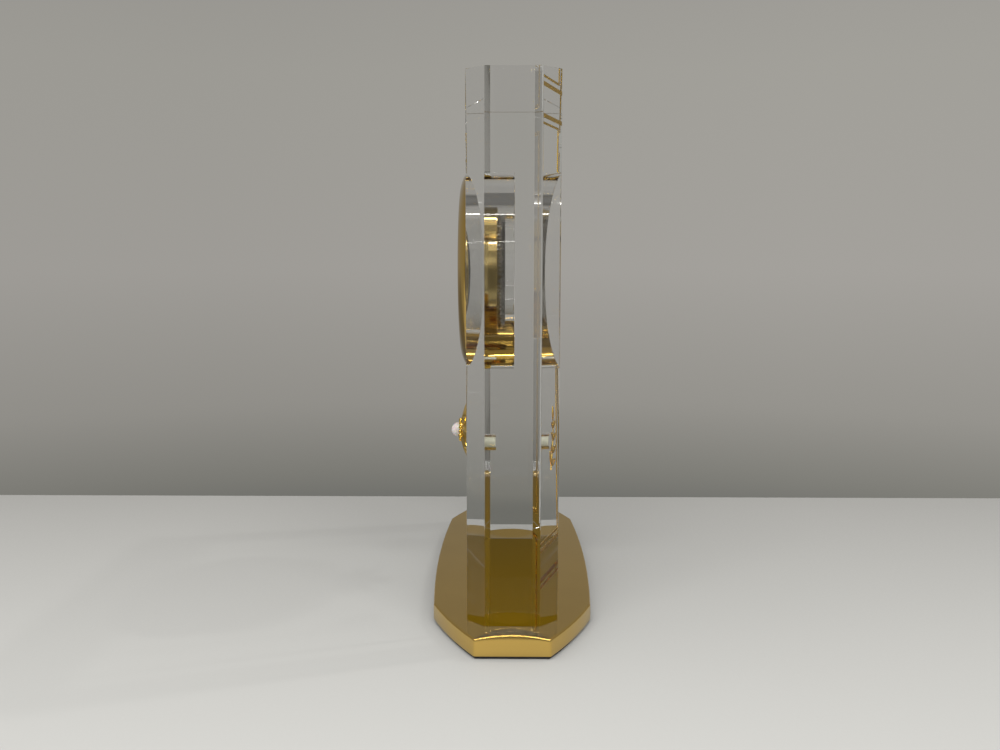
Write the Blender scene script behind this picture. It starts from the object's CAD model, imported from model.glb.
"""Desk clock: a clear acrylic block on a polished gold base, with a round quartz clock let into its front.

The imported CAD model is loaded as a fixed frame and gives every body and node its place. This script
gives them their looks: it works out smooth surfaces for the pieces that show, dresses the rest in
procedural finishes, and sets up a plain studio.

Shapes are worked out in millimetres in the frame's own axes and turned into metres when a mesh is
made. X runs along the block, Z is up, and the dial looks along -Y. "Depth" is the distance in front
of the block's middle plane, so it is -Y.
"""

import logging
from abc import ABC, abstractmethod
from collections.abc import Sequence
from dataclasses import dataclass
from enum import Enum

import bmesh
import bpy
import numpy as np
from mathutils import Matrix, Vector


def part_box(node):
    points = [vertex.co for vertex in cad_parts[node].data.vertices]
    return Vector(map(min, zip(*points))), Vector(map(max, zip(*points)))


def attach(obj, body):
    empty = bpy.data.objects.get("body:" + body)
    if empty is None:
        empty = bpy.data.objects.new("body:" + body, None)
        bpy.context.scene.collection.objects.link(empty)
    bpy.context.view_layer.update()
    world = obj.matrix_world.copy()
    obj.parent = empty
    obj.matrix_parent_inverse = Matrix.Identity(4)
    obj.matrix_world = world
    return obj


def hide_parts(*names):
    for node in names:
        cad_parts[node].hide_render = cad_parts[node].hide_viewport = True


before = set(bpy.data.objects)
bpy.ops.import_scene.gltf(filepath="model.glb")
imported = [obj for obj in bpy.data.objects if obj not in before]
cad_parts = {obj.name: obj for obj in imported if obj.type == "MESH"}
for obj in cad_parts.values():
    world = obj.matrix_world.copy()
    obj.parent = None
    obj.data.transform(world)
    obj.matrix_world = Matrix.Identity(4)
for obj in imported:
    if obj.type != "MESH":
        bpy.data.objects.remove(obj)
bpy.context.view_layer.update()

Array = np.ndarray
Triple = tuple[float, float, float]
Colour = Triple
Pair = tuple[float, float]
Socket = bpy.types.NodeSocket
log = logging.getLogger("desk_clock")

MM = 0.001
SAME_POINT = 0.0002

# In millimetres: the clear cement under the block, the depth of the block's front face, the radius
# of the pocket in it, and the height of the rosette's middle.
CEMENT = 0.1
BLOCK_FACE = 15.0
POCKET_RADIUS = 35.5
ROSETTE_UP = 58.4

# The extra points beyond a rounded corner: their distance as a share of the cut, and the largest
# share of the edge's free length that it may be.
HOLD = 0.25
HOLD_ROOM = 0.4

# The range that most of a noise pattern lies in.
NOISE_RANGE = (0.3, 0.7)


class Body(Enum):
    """The CAD bodies that pieces ride on."""

    STAND = "stand"
    INSERT = "clock_insert"
    HATCH = "hatch"
    KNOB = "knob"
    HOUR = "hour_body"
    MINUTE = "minute_body"
    SECONDS = "seconds_body"


class Slot(Enum):
    """The record's material slots that new pieces take their finish from."""

    BASE_GOLD = "base_gold"
    CLEAR_ACRYLIC = "clear_acrylic"
    ROSETTE_GOLD = "rosette_gold"
    PEARL = "pearl"
    CASE_GOLD = "case_gold"
    CLEAR_RUBBER = "clear_rubber"
    MINERAL_GLASS = "mineral_glass"
    REHAUT_GOLD = "rehaut_gold"
    HAND_GOLD = "hand_gold"
    CAP_DARK = "cap_dark"
    KNOB_GREY = "knob_grey"


# Surfaces


def box_mm(node: str) -> tuple[Array, Array]:
    """Gives the box of a CAD node.

    Args:
        node: Name of the node.

    Returns:
        Its lowest and highest corner at rest, in millimetres.
    """
    low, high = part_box(node)
    return np.array(low) / MM, np.array(high) / MM


@dataclass
class Surface:
    """Points in millimetres, and blocks of faces that are rows of point numbers."""

    points: Array
    faces: list[Array]

    @staticmethod
    def joined(parts: Sequence["Surface"]) -> "Surface":
        """Puts several surfaces into one.

        Args:
            parts: The surfaces.

        Returns:
            One surface with all their points and faces.
        """
        starts = np.cumsum([0] + [len(part.points) for part in parts])
        faces = [block + start for part, start in zip(parts, starts) for block in part.faces]
        return Surface(np.concatenate([part.points for part in parts]), faces)

    def moved(self, shift: Sequence[float]) -> "Surface":
        """Gives a copy moved by a shift in millimetres."""
        return Surface(self.points + np.asarray(shift), self.faces)


def woven(grid: Array, closed: bool = False) -> Surface:
    """Joins a grid of points, whose rows go round, into a skin of quads.

    Quad (i, j) has the corners (i, j), (i, j + 1), (i + 1, j + 1) and (i + 1, j), with the numbers
    wrapping round where the grid is closed.

    Args:
        grid: Points, as (rows, columns, 3).
        closed: Whether the last row joins the first. If not, each is shut with one flat face.

    Returns:
        The skin.
    """
    rows, columns = grid.shape[:2]
    i, j = np.meshgrid(np.arange(rows if closed else rows - 1), np.arange(columns), indexing="ij")
    next_i, next_j = (i + 1) % rows, (j + 1) % columns
    corners = (i * columns + j, i * columns + next_j, next_i * columns + next_j, next_i * columns + j)
    faces = [np.stack(corners, axis=-1).reshape(-1, 4)]
    if not closed:
        ring = np.arange(columns)
        faces += [ring[::-1][None], (ring + (rows - 1) * columns)[None]]
    return Surface(grid.reshape(-1, 3), faces)


def softened(corners: Sequence[Sequence[float]], cut: float | Sequence[float], steps: int = 5) -> Array:
    """Rounds the corners of a closed outline.

    A corner c becomes the curve (1 - t)^2 a + 2 t (1 - t) c + t^2 b for t from 0 to 1, where a and
    b lie at the distance cut from c along the edges to the corner before and the corner after. A
    further point beyond each end, at a quarter of the cut, keeps the shading of the flats even.

    Args:
        corners: The corners, in order.
        cut: The distance, for all corners or one for each.
        steps: Points on each curve.

    Returns:
        The outline's points, as (n, 2).
    """
    at = np.asarray(corners, float)
    reach = np.broadcast_to(np.asarray(cut, float), len(at))[:, None]
    ends, holds = [], []
    for neighbour in (1, -1):
        way = np.roll(at, neighbour, axis=0) - at
        run = np.linalg.norm(way, axis=1, keepdims=True)
        free = run - reach - np.roll(reach, neighbour, axis=0)
        end = at + way / run * reach
        ends.append(end[:, None])
        holds.append((end + way / run * np.minimum(reach * HOLD, free * HOLD_ROOM))[:, None])
    t = np.linspace(0, 1, steps)[None, :, None]
    curve = (1 - t) ** 2 * ends[0] + 2 * t * (1 - t) * at[:, None] + t**2 * ends[1]
    return np.concatenate([holds[0], curve, holds[1]], axis=1).reshape(-1, 2)


def arc(centre: Sequence[float], radius: float, start: float, end: float, steps: int) -> Array:
    """Gives points on a circle, centre + radius * (cos a, sin a), for angles in degrees."""
    a = np.radians(np.linspace(start, end, steps))
    return np.asarray(centre) + radius * np.stack([np.cos(a), np.sin(a)], axis=-1)


def bearing(point: Sequence[float], centre: Sequence[float]) -> float:
    """Gives the angle, in degrees, at which a point lies from a centre."""
    return np.degrees(np.arctan2(point[1] - centre[1], point[0] - centre[0]))


def on_clock(across: Array, up: Array, depth: Array) -> Array:
    """Turns places seen from the front, with their depth, into X, Y and Z."""
    across, up, depth = np.broadcast_arrays(across, up, depth)
    return np.stack([across, -depth, up], axis=-1)


def clockwise(across: Array, along: Array, turn: float, centre_up: float) -> tuple[Array, Array]:
    """Turns places clockwise from straight up, round a centre on the middle line.

    A place goes to along sin a + across cos a, and up to centre + along cos a - across sin a.

    Args:
        across: Places across the piece.
        along: Places along it, from the centre.
        turn: The angle a, in degrees.
        centre_up: The centre's height.

    Returns:
        The places across and up, seen from the front.
    """
    a = np.radians(turn)
    x = along * np.sin(a) + across * np.cos(a)
    return x, centre_up + along * np.cos(a) - across * np.sin(a)


def lathe(
    profile: Array | Sequence[Pair], centre: Sequence[float], segments: int = 192, ring: bool = True
) -> Surface:
    """Turns a profile round an axis that runs front to back.

    Point (i, j) is at centre + r_i (cos a_j, sin a_j) across and up, at the profile's own depth,
    with a_j = 2 pi j / segments.

    Args:
        profile: Pairs of radius and depth.
        centre: Where the axis is, across and up.
        segments: Points round the axis.
        ring: Whether the profile is a closed loop. If not, its two ends are shut.

    Returns:
        The turned skin.
    """
    radius, depth = np.asarray(profile, float).T[:, :, None]
    a = 2 * np.pi * np.arange(segments)[None, :] / segments
    grid = on_clock(centre[0] + radius * np.cos(a), centre[1] + radius * np.sin(a), depth)
    return woven(grid, closed=ring)


def ball(radius: float, centre: Sequence[float], rows: int, columns: int) -> Surface:
    """Makes a sphere as a lathe turning.

    The profile is radius * sin b and radius * cos b, for b from a hair over 0 to a hair under pi.

    Args:
        radius: The sphere's radius.
        centre: Its centre, across, up and in depth.
        rows: Points from front to back.
        columns: Points round.

    Returns:
        The sphere.
    """
    hair = 0.02
    b = np.linspace(hair, np.pi - hair, rows)
    profile = np.stack([radius * np.sin(b), centre[2] + radius * np.cos(b)], axis=-1)
    return lathe(profile, centre[:2], columns, ring=False)


def mesh_from(name: str, surface: Surface, crease: float) -> bpy.types.Mesh:
    """Makes a mesh with closed seams, outward faces and shading that breaks at sharp edges.

    Args:
        name: Name for the mesh.
        surface: Its points and faces.
        crease: Edges that turn by more than this many degrees stay sharp.

    Returns:
        The mesh, in metres.
    """
    mesh = bpy.data.meshes.new(name)
    faces = [row for block in surface.faces for row in block.tolist()]
    mesh.from_pydata((surface.points * MM).tolist(), [], faces)
    finish_mesh(mesh, crease)
    return mesh


def finish_mesh(mesh: bpy.types.Mesh, crease: float) -> None:
    """Merges a mesh's doubles, turns its faces outwards and shades it smooth between creases.

    Args:
        mesh: The mesh, in metres.
        crease: Edges that turn by more than this many degrees stay sharp.
    """
    work = bmesh.new()
    work.from_mesh(mesh)
    bmesh.ops.remove_doubles(work, verts=work.verts, dist=SAME_POINT * MM)
    bmesh.ops.dissolve_degenerate(work, edges=work.edges, dist=SAME_POINT * MM)
    bmesh.ops.recalc_face_normals(work, faces=work.faces)
    work.to_mesh(mesh)
    work.free()
    mesh.polygons.foreach_set("use_smooth", np.ones(len(mesh.polygons), bool))
    mesh.set_sharp_from_angle(angle=np.radians(crease))


# Finishes


class NodeTable:
    """A node tree, with short ways to add nodes to it."""

    def __init__(self, tree: bpy.types.NodeTree) -> None:
        """Takes the node tree of a material or a world."""
        self.tree = tree
        self.nodes = tree.nodes

    def wire(self, source: object, target: Socket) -> None:
        """Links a socket to an input, or sets a plain value on it.

        Args:
            source: The socket or the value.
            target: The input.
        """
        if isinstance(source, Socket):
            self.tree.links.new(source, target)
        else:
            target.default_value = source

    def add(self, kind: str, inputs: dict[str | int, object], **settings: object) -> bpy.types.Node:
        """Adds a node.

        Args:
            kind: The node's type, without ShaderNode in front.
            inputs: What goes into its inputs: sockets or plain values.
            **settings: Properties of the node.

        Returns:
            The node.
        """
        node = self.nodes.new("ShaderNode" + kind)
        for key, value in settings.items():
            setattr(node, key, value)
        for key, value in inputs.items():
            self.wire(value, node.inputs[key])
        return node

    def span(self, value: object, low: float, high: float, edges: Pair = NOISE_RANGE) -> Socket:
        """Maps a pattern from the range in edges onto the range from low to high."""
        inputs = {"Value": value, "From Min": edges[0], "From Max": edges[1], "To Min": low, "To Max": high}
        return self.add("MapRange", inputs).outputs["Result"]

    def blend(self, share: object, first: object, second: object) -> Socket:
        """Mixes two colours by a share, with the colour sockets 6, 7 and 2 of a Mix node.

        Args:
            share: How much there is of the second.
            first: A colour or a socket.
            second: A colour or a socket.

        Returns:
            The mixed colour.
        """
        node = self.add("Mix", {"Factor": share}, data_type="RGBA")
        for number, colour in ((6, first), (7, second)):
            self.wire(opaque(colour) if isinstance(colour, tuple) else colour, node.inputs[number])
        return node.outputs[2]

    def toned(self, share: object, colour: Colour, dark: float, pale: float) -> Socket:
        """Mixes a dark and a pale tone of a colour by a share."""
        return self.blend(share, tinted(colour, dark), tinted(colour, pale))

    def math(self, operation: str, first: object, second: object = 0.0) -> Socket:
        """Works out one value from two."""
        return self.add("Math", {0: first, 1: second}, operation=operation).outputs[0]

    def both(self, first: object, *others: object) -> Socket:
        """Multiplies shares, so that the result is 1 only where all of them are."""
        for other in others:
            first = self.math("MULTIPLY", first, other)
        return first

    def window(self, value: object, low: float, high: float, fade: float) -> Socket:
        """Gives 1 where a value lies between low and high, and fades to 0 outside."""
        rise = self.span(value, 0.0, 1.0, (low - fade, low))
        return self.both(rise, self.span(value, 1.0, 0.0, (high, high + fade)))

    def ramp(self, value: object, stops: Sequence[tuple[float, Colour]]) -> Socket:
        """Gives the colour at a value between 0 and 1 in a row of places and colours.

        Args:
            value: The value.
            stops: The places and their colours, in order.

        Returns:
            The colour.
        """
        node = self.add("ValToRGB", {"Fac": value})
        elements = node.color_ramp.elements
        while len(elements) < len(stops):
            elements.new(0.5)
        for element, (position, colour) in zip(elements, stops):
            element.position, element.color = position, opaque(colour)
        return node.outputs["Color"]


class NodeBench(NodeTable):
    """A new material with its Principled shader and its Object coordinates."""

    def __init__(self, name: str) -> None:
        """Starts the material.

        Args:
            name: Name of the finish.
        """
        self.material = bpy.data.materials.new(name)
        self.material.use_nodes = True
        super().__init__(self.material.node_tree)
        self.shader = self.nodes["Principled BSDF"]
        self.place = self.nodes.new("ShaderNodeTexCoord").outputs["Object"]

    def shade(self, inputs: dict[str, object]) -> None:
        """Sets or links inputs of the Principled shader."""
        for key, value in inputs.items():
            self.wire(value, self.shader.inputs[key])

    def show(self, shader: bpy.types.Node) -> None:
        """Makes another shader the one that the material shows."""
        self.wire(shader.outputs[0], self.nodes["Material Output"].inputs["Surface"])

    def noise(self, scale: float, detail: float = 3.0) -> Socket:
        """Gives a noise pattern between 0 and 1, with scale in waves per metre."""
        inputs = {"Vector": self.place, "Scale": scale, "Detail": detail}
        return self.add("TexNoise", inputs).outputs["Fac"]

    def bump(self, height: object, rise: float) -> None:
        """Raises the surface by a pattern, by up to the rise in millimetres."""
        node = self.add("Bump", {"Height": height, "Distance": rise * MM, "Strength": 1.0})
        self.shade({"Normal": node.outputs["Normal"]})

    def centred(self, centre: Sequence[float]) -> Socket:
        """Gives places measured from a centre in millimetres."""
        shift = tuple(-value * MM for value in centre)
        return self.add("Mapping", {"Vector": self.place, "Location": shift}).outputs["Vector"]


def opaque(colour: Colour) -> tuple[float, float, float, float]:
    """Adds the alpha of 1 to a colour."""
    return (*colour, 1.0)


def tinted(colour: Colour, factor: float) -> Colour:
    """Gives a colour made lighter or darker by a factor."""
    return tuple(min(1.0, channel * factor) for channel in colour)


@dataclass(frozen=True)
class Finish(ABC):
    """What a piece's surface is made of."""

    name: str

    @abstractmethod
    def lay(self, bench: NodeBench) -> None:
        """Lays out the finish's nodes."""

    def material(self) -> bpy.types.Material:
        """Gives the finish's material, which is made the first time it is asked for.

        Returns:
            The material.
        """
        made = bpy.data.materials.get(self.name)
        if made is None:
            bench = NodeBench(self.name)
            self.lay(bench)
            made = bench.material
        return made


class Grain(Enum):
    """Which way the fine lines of a worked surface run."""

    NONE = "none"
    RINGS = "rings"
    RAYS = "rays"


# Metal's ripple and its polish, which are this many times finer than its patches of tone, and the
# factors by which the polish changes the roughness.
RIPPLE_FINENESS = 2
POLISH_FINENESS = 12
POLISH_CHANGE = (0.75, 1.35)

# Its fine lines: how many times deeper than the ripple, and how many in a metre or a radian.
LINE_DEPTH = 4
RINGS_PER_METRE = 2600.0
RAYS_PER_RADIAN = 110.0

# Its pits: where one fades out, as a share of their spacing, its tone, and a noise that says where
# pits are, by its waves to a spacing and the height from which it has any.
PIT_EDGE = (0.03, 0.09)
PIT_TONE = 0.35
PIT_WAVES = 0.35
PIT_SPARSENESS = (0.66, 0.7)


@dataclass(frozen=True)
class Metal(Finish):
    """Metal with a slight change of tone, uneven polish and, where asked, fine lines or pits."""

    colour: Colour
    roughness: float
    edge: Colour = (0.9, 0.9, 0.9)
    tone: float = 0.05
    patch: float = 60.0
    ripple: float = 0.0004
    grain: Grain = Grain.NONE
    centre: Triple = (0.0, 0.0, 0.0)
    lines: float = 0.0
    pits: float = 0.0

    def lay(self, bench: NodeBench) -> None:
        """Lays out tone, polish, lines and pits.

        Args:
            bench: The material's bench.
        """
        share = bench.span(bench.noise(self.patch), 0.0, 1.0)
        colour = bench.toned(share, self.colour, 1 - self.tone, 1 + self.tone)
        smooth, rough = (self.roughness * change for change in POLISH_CHANGE)
        polish = bench.span(bench.noise(self.patch * POLISH_FINENESS), smooth, rough)
        height, rise = bench.noise(self.patch * RIPPLE_FINENESS, 1.0), self.ripple
        if self.grain is not Grain.NONE:
            height, rise = grain_pattern(bench, self.grain, self.centre), self.ripple * LINE_DEPTH
            polish = bench.math("ADD", polish, bench.span(height, 0.0, self.lines))
        if self.pits:
            spacing = self.pits * MM
            cells = bench.add("TexVoronoi", {"Vector": bench.place, "Scale": 1 / spacing})
            sparse = bench.span(bench.noise(PIT_WAVES / spacing, 0.0), 0.0, 1.0, PIT_SPARSENESS)
            near = bench.span(cells.outputs["Distance"], 1.0, 0.0, PIT_EDGE)
            colour = bench.blend(bench.both(near, sparse), colour, tinted(self.colour, PIT_TONE))
        bench.shade({"Metallic": 1.0, "Specular Tint": opaque(self.edge)})
        bench.shade({"Base Color": colour, "Roughness": polish})
        bench.bump(height, rise)


def grain_pattern(bench: NodeBench, grain: Grain, centre: Sequence[float]) -> Socket:
    """Makes fine lines round a centre or out from it.

    Rings are noise of the distance from the centre, and rays are noise of the angle round it.

    Args:
        bench: The material's bench.
        grain: Rings or rays.
        centre: The centre, in millimetres.

    Returns:
        A pattern between 0 and 1.
    """
    split = bench.add("SeparateXYZ", {"Vector": bench.centred(centre)})
    across, up = split.outputs["X"], split.outputs["Z"]
    if grain is Grain.RINGS:
        squares = bench.math("ADD", bench.both(across, across), bench.both(up, up))
        where = bench.both(bench.math("SQRT", squares), RINGS_PER_METRE)
    else:
        where = bench.both(bench.math("ARCTAN2", up, across), RAYS_PER_RADIAN)
    noise = bench.add("TexNoise", {"W": where, "Scale": 1.0, "Detail": 2.0}, noise_dimensions="1D")
    return noise.outputs["Fac"]


@dataclass(frozen=True)
class Clear(Finish):
    """Clear plastic or glass, which lets lamp light and soft light straight through.

    Lamp light is tinted by pass_tint where it goes through, and once more by edge_tint at the faces
    that look neither forwards nor backwards.
    """

    tint: Colour
    bend: float
    roughness: float = 0.0
    waviness: float = 0.0
    waves: float = 25.0
    pass_tint: float = 0.95
    edge_tint: float = 0.35

    def lay(self, bench: NodeBench) -> None:
        """Lays out the clear shader and the plain one that lamp light meets.

        Lamp light goes straight through the front and the back face. The other faces bend it away,
        so they dim it where it falls on something in the open, and leave shadow lines there.

        Args:
            bench: The material's bench.
        """
        bench.shade({"Base Color": opaque(self.tint), "Transmission Weight": 1.0})
        bench.shade({"IOR": self.bend, "Roughness": self.roughness})
        if self.waviness:
            bench.bump(bench.noise(self.waves, 1.0), self.waviness)
        path = bench.add("LightPath", {}).outputs
        soft = bench.math("MAXIMUM", path["Is Shadow Ray"], path["Is Diffuse Ray"])
        normal = bench.add("NewGeometry", {}).outputs["True Normal"]
        facing = bench.math("ABSOLUTE", bench.add("SeparateXYZ", {0: normal}).outputs["Y"])
        edge_on = bench.span(facing, 1.0, 0.0, (0.8, 0.95))
        met = bench.math("ADD", path["Transmission Depth"], path["Glossy Depth"])
        in_the_open = bench.span(met, 1.0, 0.0, (0.2, 0.8))
        dimmed = bench.both(edge_on, in_the_open, path["Is Shadow Ray"])
        passed = tinted(self.tint, self.pass_tint)
        colour = bench.blend(dimmed, passed, tinted(passed, self.edge_tint))
        plain = bench.add("BsdfTransparent", {"Color": colour})
        bench.show(bench.add("MixShader", {0: soft, 1: bench.shader.outputs[0], 2: plain.outputs[0]}))


@dataclass(frozen=True)
class Moulded(Finish):
    """Moulded plastic, rubber, board or paint: a mottled colour with a fine surface."""

    colour: Colour
    roughness: float
    mottle: float = 0.08
    mottle_waves: float = 0.12
    uneven: float = 0.15
    grit: float = 900.0
    rise: float = 0.004

    def lay(self, bench: NodeBench) -> None:
        """Lays out the mottled colour and the fine surface.

        Args:
            bench: The material's bench.
        """
        share = bench.span(bench.noise(self.grit * self.mottle_waves), 0.0, 1.0)
        colour = bench.toned(share, self.colour, 1 - self.mottle, 1 + self.mottle)
        fine = bench.noise(self.grit)
        polish = bench.span(fine, self.roughness * (1 - self.uneven), self.roughness * (1 + self.uneven))
        bench.shade({"Base Color": colour, "Roughness": polish})
        bench.bump(fine, self.rise)


@dataclass(frozen=True)
class Nacre(Finish):
    """Pearl: pale layers under a glossy skin, with a faint rose and green shimmer."""

    body: Colour = (0.80, 0.76, 0.72)
    rose: Colour = (0.86, 0.74, 0.72)
    layer: float = 380.0

    def lay(self, bench: NodeBench) -> None:
        """Lays out the drifting colour and the coat.

        Args:
            bench: The material's bench.
        """
        drift = bench.noise(420.0, 2.0)
        colour = bench.blend(bench.span(drift, 0.0, 1.0), self.body, self.rose)
        bench.shade({"Base Color": colour, "Roughness": bench.span(bench.noise(1500.0), 0.16, 0.24)})
        bench.shade({"Coat Weight": 0.6, "Coat Roughness": 0.06})
        bench.shade({"Thin Film Thickness": self.layer, "Thin Film IOR": 1.45})
        bench.shade({"Subsurface Weight": 0.25, "Subsurface Scale": 0.8 * MM})
        bench.bump(drift, 0.01)


@dataclass(frozen=True)
class Sunray(Finish):
    """A dial's pale lacquer over fine rays that run out from its centre."""

    colour: Colour
    centre: Triple

    def lay(self, bench: NodeBench) -> None:
        """Lays out rays in the tone and the gloss of the lacquer.

        Args:
            bench: The material's bench.
        """
        rays = grain_pattern(bench, Grain.RAYS, self.centre)
        colour = bench.toned(bench.span(rays, 0.0, 1.0), self.colour, 0.94, 1.02)
        bench.shade({"Base Color": colour, "Roughness": bench.span(rays, 0.28, 0.42)})
        bench.shade({"Metallic": 0.25, "Coat Weight": 0.3, "Coat Roughness": 0.1})
        bench.bump(rays, 0.002)


@dataclass(frozen=True)
class TableTop(Finish):
    """Matt white paint that looks darker towards the far edge, where less light reaches it.

    A strip before the clock, from the place in front_shade on, looks dark to rays that have met
    the clock. It fades in over ahead_fade, reaches as far as half_strip to both sides, and is gone
    at side_fade times as far.
    """

    far: tuple[float, Colour]
    near: tuple[float, Colour]
    front_shade: tuple[float, Colour]
    half_strip: float = 50.0
    ahead_fade: float = 5.0
    side_fade: float = 1.8
    roughness: float = 0.55
    grit: float = 900.0
    rise: float = 0.002

    def lay(self, bench: NodeBench) -> None:
        """Lays out the change of tone along X and the strip.

        Args:
            bench: The material's bench.
        """
        place = bench.add("SeparateXYZ", {"Vector": bench.place}).outputs
        share = bench.span(place["X"], 0.0, 1.0, (self.far[0] * MM, self.near[0] * MM))
        paint = bench.blend(share, self.far[1], self.near[1])
        path = bench.add("LightPath", {}).outputs
        met = bench.math("MAXIMUM", path["Is Glossy Ray"], path["Is Transmission Ray"])
        start, shade = self.front_shade
        ahead = bench.span(place["X"], 0.0, 1.0, ((start - self.ahead_fade) * MM, start * MM))
        sides = (self.half_strip * MM, self.side_fade * self.half_strip * MM)
        beside = bench.span(bench.math("ABSOLUTE", place["Y"]), 1.0, 0.0, sides)
        colour = bench.blend(bench.both(met, ahead, beside), paint, shade)
        fine = bench.noise(self.grit)
        polish = bench.span(fine, self.roughness * 0.9, self.roughness * 1.1)
        bench.shade({"Base Color": colour, "Roughness": polish})
        bench.bump(fine, self.rise)


@dataclass(frozen=True)
class Winding(Finish):
    """Fine lacquered wire, wound side by side along X."""

    colour: Colour = (0.62, 0.27, 0.12)

    def lay(self, bench: NodeBench) -> None:
        """Lays out the turns as bands along the coil.

        Args:
            bench: The material's bench.
        """
        inputs = {"Vector": bench.place, "Scale": 1600.0, "Distortion": 0.4, "Detail": 1.0}
        turns = bench.add("TexWave", inputs, wave_type="BANDS", bands_direction="X").outputs["Fac"]
        bench.shade({"Base Color": bench.toned(turns, self.colour, 0.55, 1.1), "Metallic": 0.8})
        bench.shade({"Roughness": bench.span(turns, 0.45, 0.3, (0.0, 1.0))})
        bench.bump(turns, 0.03)


CLOCK_CENTRE = (0.0, float(sum(corner[2] for corner in box_mm("dial"))) / 2)
CLOCK_MIDDLE = (0.0, 0.0, CLOCK_CENTRE[1])

EDGE_GOLD = (0.84, 0.87, 0.92)
FOOT_EDGE = (0.65, 0.53, 0.27)
BASE_GOLD = Metal(
    "polished_base_gold", (0.66, 0.44, 0.12), 0.08, EDGE_GOLD,
    tone=0.04, patch=35.0, ripple=0.00015, pits=5.0,
)
FOOT_GOLD = Metal(
    "base_gold_under_cement", (0.57, 0.362, 0.075), 0.02, FOOT_EDGE,
    tone=0.03, patch=25.0, ripple=0.0002,
)
CASE_GOLD = Metal("polished_case_gold", (0.63, 0.42, 0.12), 0.07, EDGE_GOLD, tone=0.03)
DRUM_GOLD = Metal("polished_drum_gold", (0.70, 0.53, 0.22), 0.07, EDGE_GOLD, tone=0.03)
REHAUT_GOLD = Metal(
    "satin_ring_gold", (0.76, 0.55, 0.24), 0.16, grain=Grain.RINGS, centre=CLOCK_MIDDLE, lines=0.1
)
ROSETTE_GOLD = Metal("rosette_yellow_gold", (0.82, 0.55, 0.10), 0.14, tone=0.08, patch=260.0, ripple=0.004)
HAND_GOLD = Metal("faceted_hand_gold", (0.62, 0.38, 0.10), 0.16, EDGE_GOLD, patch=220.0)
INLAY_GOLD = Metal("gold_filled_engraving", (0.60, 0.38, 0.05), 0.42, tone=0.12, patch=500.0, ripple=0.01)
CAP_DARK = Metal(
    "dark_turned_cap", (0.28, 0.265, 0.24), 0.16,
    tone=0.03, patch=14.0, ripple=0.0001, grain=Grain.RINGS, centre=CLOCK_MIDDLE, lines=0.08,
)
BRASS = Metal("brushed_brass", (0.72, 0.52, 0.22), 0.24, patch=500.0)
STEEL = Metal("bright_steel", (0.60, 0.60, 0.61), 0.22, patch=400.0)
MAGNET = Metal("dark_magnet", (0.16, 0.16, 0.17), 0.38, patch=600.0)
ACRYLIC = Clear("clear_cast_acrylic", (0.935, 0.942, 0.938), 1.49, waviness=0.0004)
GLASS = Clear("polished_mineral_glass", (0.975, 0.985, 0.98), 1.52)
RUBBER = Clear("clear_grip_rubber", (0.86, 0.87, 0.86), 1.43, roughness=0.25)
PEARL = Nacre("nacre")
DIAL = Sunray("dial_sunray_white", (0.83, 0.81, 0.76), CLOCK_MIDDLE)
STUD_CEMENT = Moulded("cement_on_stud", (0.62, 0.60, 0.47), 0.5, mottle=0.04)
PRINT = Moulded("black_dial_ink", (0.03, 0.03, 0.035), 0.45)
PLASTIC = Moulded("pale_movement_plastic", (0.62, 0.62, 0.59), 0.42)
PLATE_PLASTIC = Moulded("dark_plate_plastic", (0.07, 0.075, 0.085), 0.40)
BOARD = Moulded("green_board", (0.02, 0.13, 0.05), 0.34, mottle=0.2)
KNOB_GREY = Moulded("grey_knob_plastic", (0.16, 0.165, 0.17), 0.36)
FELT = Moulded("dark_pad_felt", (0.035, 0.032, 0.03), 0.92, mottle=0.3, grit=2600.0, rise=0.05)
COPPER = Winding("copper_winding")


@dataclass(frozen=True)
class Piece:
    """A finished piece: what it is called, how it is dressed, and what it stands for."""

    name: str
    surface: Surface
    finish: Finish
    body: Body
    slot: Slot
    nodes: tuple[str, ...]
    crease: float = 28.0

    def place(self) -> None:
        """Makes the object, and says what it rides on and which nodes it stands for."""
        mesh = mesh_from(self.name, self.surface, self.crease)
        mesh.materials.append(self.finish.material())
        seated(self.name, mesh, self.body, self.nodes)


def placed(name: str, data: bpy.types.ID) -> bpy.types.Object:
    """Makes an object of a mesh, a lamp or a camera and puts it in the scene.

    Args:
        name: The object's name.
        data: Its mesh, lamp or camera.

    Returns:
        The object.
    """
    thing = bpy.data.objects.new(name, data)
    bpy.context.scene.collection.objects.link(thing)
    return thing


def seated(name: str, mesh: bpy.types.Mesh, body: Body, nodes: Sequence[str]) -> None:
    """Puts a mesh in the scene as a piece that rides on a body.

    Args:
        name: The piece's name.
        mesh: Its mesh, which holds its place.
        body: The body it rides on.
        nodes: The CAD nodes it stands for.
    """
    thing = placed(name, mesh)
    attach(thing, body.value)
    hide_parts(*nodes)
    log.info("%s: %d faces, rides on %s", name, len(mesh.polygons), body.value)


def smoothed(node: str, finish: Finish, body: Body) -> None:
    """Makes a merged copy of a CAD node that shades smoothly, and puts it in the node's place.

    Args:
        node: The CAD node, whose shape is right as it is.
        finish: The finish for the copy.
        body: The body it rides on.
    """
    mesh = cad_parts[node].data.copy()
    finish_mesh(mesh, 30.0)
    mesh.materials.clear()
    mesh.materials.append(finish.material())
    seated(node + "_finished", mesh, body, (node,))


def dressed(nodes: Sequence[str], finish: Finish) -> None:
    """Gives CAD nodes that keep their own shape a finish.

    Args:
        nodes: Names of the nodes.
        finish: The finish they share.
    """
    for node in nodes:
        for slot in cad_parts[node].material_slots:
            slot.material = finish.material()
        log.info("%s: CAD shape in %s", node, finish.name)


# Base


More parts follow.
